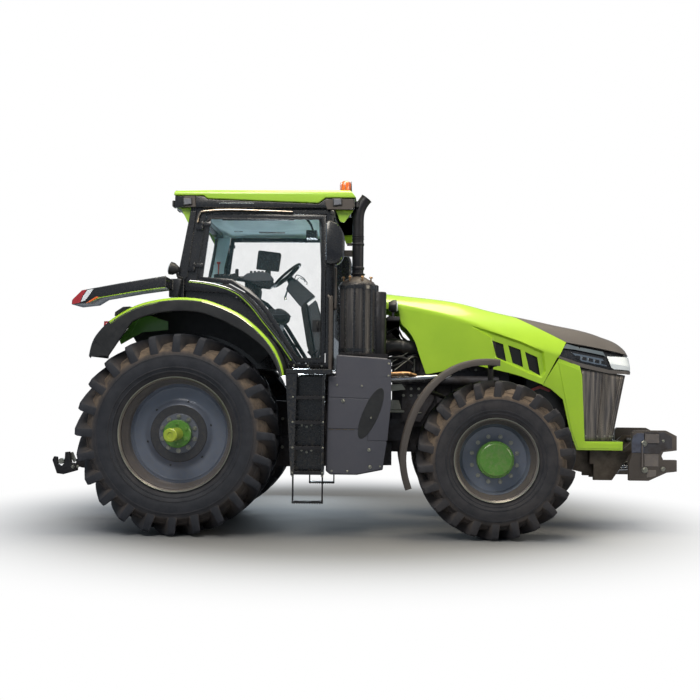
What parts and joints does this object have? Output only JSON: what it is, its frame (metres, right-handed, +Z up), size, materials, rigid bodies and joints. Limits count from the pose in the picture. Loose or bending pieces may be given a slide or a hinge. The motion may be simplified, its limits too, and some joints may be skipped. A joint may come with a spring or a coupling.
{
  "type": "farm tractor",
  "caption": "Four-wheel-drive farm tractor with cab, opening doors and bonnet, steering, turning wheels and front and rear linkage.",
  "frame": {"origin": "on the ground under the middle of the machine's length and width", "axes": "+X ahead, +Y to the driver's left, +Z up"},
  "size_m": [6.478, 3.06, 3.59],
  "materials": {
    "body_green": "gloss lime green paint",
    "roof_green": "gloss green paint",
    "hub_green": "gloss green paint",
    "rim_grey": "dark blue-grey metallic paint",
    "tyre_rubber": "dusty rubber",
    "black_plastic": "grained plastic",
    "grey_plastic": "satin grey plastic",
    "cab_black": "gloss black paint",
    "frame_grey": "dark grey paint",
    "cast_grey": "painted castings",
    "clear_glass": "tinted glass",
    "lamp_lens": "clear lens",
    "seat_cloth": "woven seat cover",
    "exhaust_black": "heat-proof black",
    "nose_grey": "warm dark grey",
    "mirror_black": "black housing"
  },
  "bodies": {
    "tractor": {"chassis_frame": "frame_grey", "engine_block": "cast_grey", "transmission_housing": "cast_grey", "front_axle_beam": "frame_grey", "rear_fenders": "body_green", "fender_flares": "black_plastic", "tail_lamp_wings": "black_plastic", "cab_frame": "cab_black", "cab_floor": "black_plastic", "roof_shell": "roof_green", "roof_base": "cab_black", "roof_lamps": "lamp_lens", "cab_glass": "clear_glass", "operator_seat": "seat_cloth", "steering_column": "black_plastic", "exhaust_canister": "exhaust_black", "exhaust_stack": "exhaust_black", "side_tanks": "grey_plastic", "boarding_ladders": "frame_grey", "nose_frame": "body_green", "grille": "grey_plastic", "radiator_pack": "frame_grey", "mirrors": "mirror_black", "front_linkage_frame": "frame_grey"},
    "steering_link": {"steering_rod": "frame_grey"},
    "bonnet": {"bonnet_shell": "body_green", "nose_cap": "nose_grey", "headlamps": "lamp_lens"},
    "lower_link_pair": {"lower_links": "frame_grey"},
    "rockshaft": {"lift_rockshaft": "frame_grey"},
    "lift_rod_pair": {"lift_rods": "frame_grey"},
    "front_lift_arms": {"front_linkage_arms": "frame_grey"},
    "rear_wheel_left": {"rear_tyre_left": "tyre_rubber", "rear_rim_left": "rim_grey", "rear_hub_left": "hub_green"},
    "front_wheel_left": {"front_tyre_left": "tyre_rubber", "front_rim_left": "rim_grey", "front_hub_left": "hub_green"},
    "knuckle_left": {"front_knuckle_left": "frame_grey", "front_mudguard_left": "grey_plastic"},
    "cab_door_left": {"door_left": "cab_black", "door_glass_left": "clear_glass"},
    "rear_wheel_right": {"rear_tyre_right": "tyre_rubber", "rear_rim_right": "rim_grey", "rear_hub_right": "hub_green"},
    "front_wheel_right": {"front_tyre_right": "tyre_rubber", "front_rim_right": "rim_grey", "front_hub_right": "hub_green"},
    "knuckle_right": {"front_knuckle_right": "frame_grey", "front_mudguard_right": "grey_plastic"},
    "cab_door_right": {"door_right": "cab_black", "door_glass_right": "clear_glass"}
  },
  "joints": [
    {"name": "rear_wheel_left_spin", "type": "hinge", "parent": "tractor", "child": "rear_wheel_left", "pos_m": [-1.789, 0.98, 0.985], "axis": [0, 1, 0], "continuous": true},
    {"name": "steer_left", "type": "hinge", "parent": "tractor", "child": "knuckle_left", "pos_m": [1.311, 0.72, 0.77], "axis": [0, 0, 1], "range_deg": [-35, 35]},
    {"name": "front_wheel_left_spin", "type": "hinge", "parent": "knuckle_left", "child": "front_wheel_left", "pos_m": [1.311, 1.018, 0.77], "axis": [0, 1, 0], "continuous": true},
    {"name": "door_left_swing", "type": "hinge", "parent": "tractor", "child": "cab_door_left", "pos_m": [-1.66196, 0.882, 2.9], "axis": [0.1802, 0, 0.9836], "range_deg": [0, 72]},
    {"name": "rear_wheel_right_spin", "type": "hinge", "parent": "tractor", "child": "rear_wheel_right", "pos_m": [-1.789, -0.98, 0.985], "axis": [0, 1, 0], "continuous": true},
    {"name": "steer_right", "type": "hinge", "parent": "tractor", "child": "knuckle_right", "pos_m": [1.311, -0.72, 0.77], "axis": [0, 0, 1], "range_deg": [-35, 35]},
    {"name": "front_wheel_right_spin", "type": "hinge", "parent": "knuckle_right", "child": "front_wheel_right", "pos_m": [1.311, -1.018, 0.77], "axis": [0, 1, 0], "continuous": true},
    {"name": "door_right_swing", "type": "hinge", "parent": "tractor", "child": "cab_door_right", "pos_m": [-1.66196, -0.882, 2.9], "axis": [-0.1802, 0, -0.9836], "range_deg": [0, 72]},
    {"name": "steering_rod_slide", "type": "slide", "parent": "tractor", "child": "steering_link", "axis": [0, 1, 0], "range_m": [-0.15, 0.15]},
    {"name": "bonnet_lift", "type": "hinge", "parent": "tractor", "child": "bonnet", "pos_m": [-0.139, 0, 2.415], "axis": [0, -1, 0], "range_deg": [0, 40]},
    {"name": "rear_lift", "type": "hinge", "parent": "tractor", "child": "lower_link_pair", "pos_m": [-2.119, 0, 0.64], "axis": [0, 1, 0], "range_deg": [-8, 28]},
    {"name": "rockshaft_turn", "type": "hinge", "parent": "tractor", "child": "rockshaft", "pos_m": [-2.229, 0, 1.4], "axis": [0, 1, 0], "range_deg": [-11, 37]},
    {"name": "lift_rod_swing", "type": "hinge", "parent": "rockshaft", "child": "lift_rod_pair", "pos_m": [-2.629, 0, 1.37], "axis": [0, 1, 0], "range_deg": [-37, 11]},
    {"name": "front_lift", "type": "hinge", "parent": "tractor", "child": "front_lift_arms", "pos_m": [2.901, 0, 0.916], "axis": [0, -1, 0], "range_deg": [-20, 15]}
  ],
  "couplings": [
    {"joint": "steer_left", "follows": "steer_right", "ratio": 1},
    {"joint": "steering_rod_slide", "follows": "steer_right", "m_per_rad": -0.24},
    {"joint": "rockshaft_turn", "follows": "rear_lift", "ratio": 1.275},
    {"joint": "lift_rod_swing", "follows": "rear_lift", "ratio": -1.275}
  ]
}
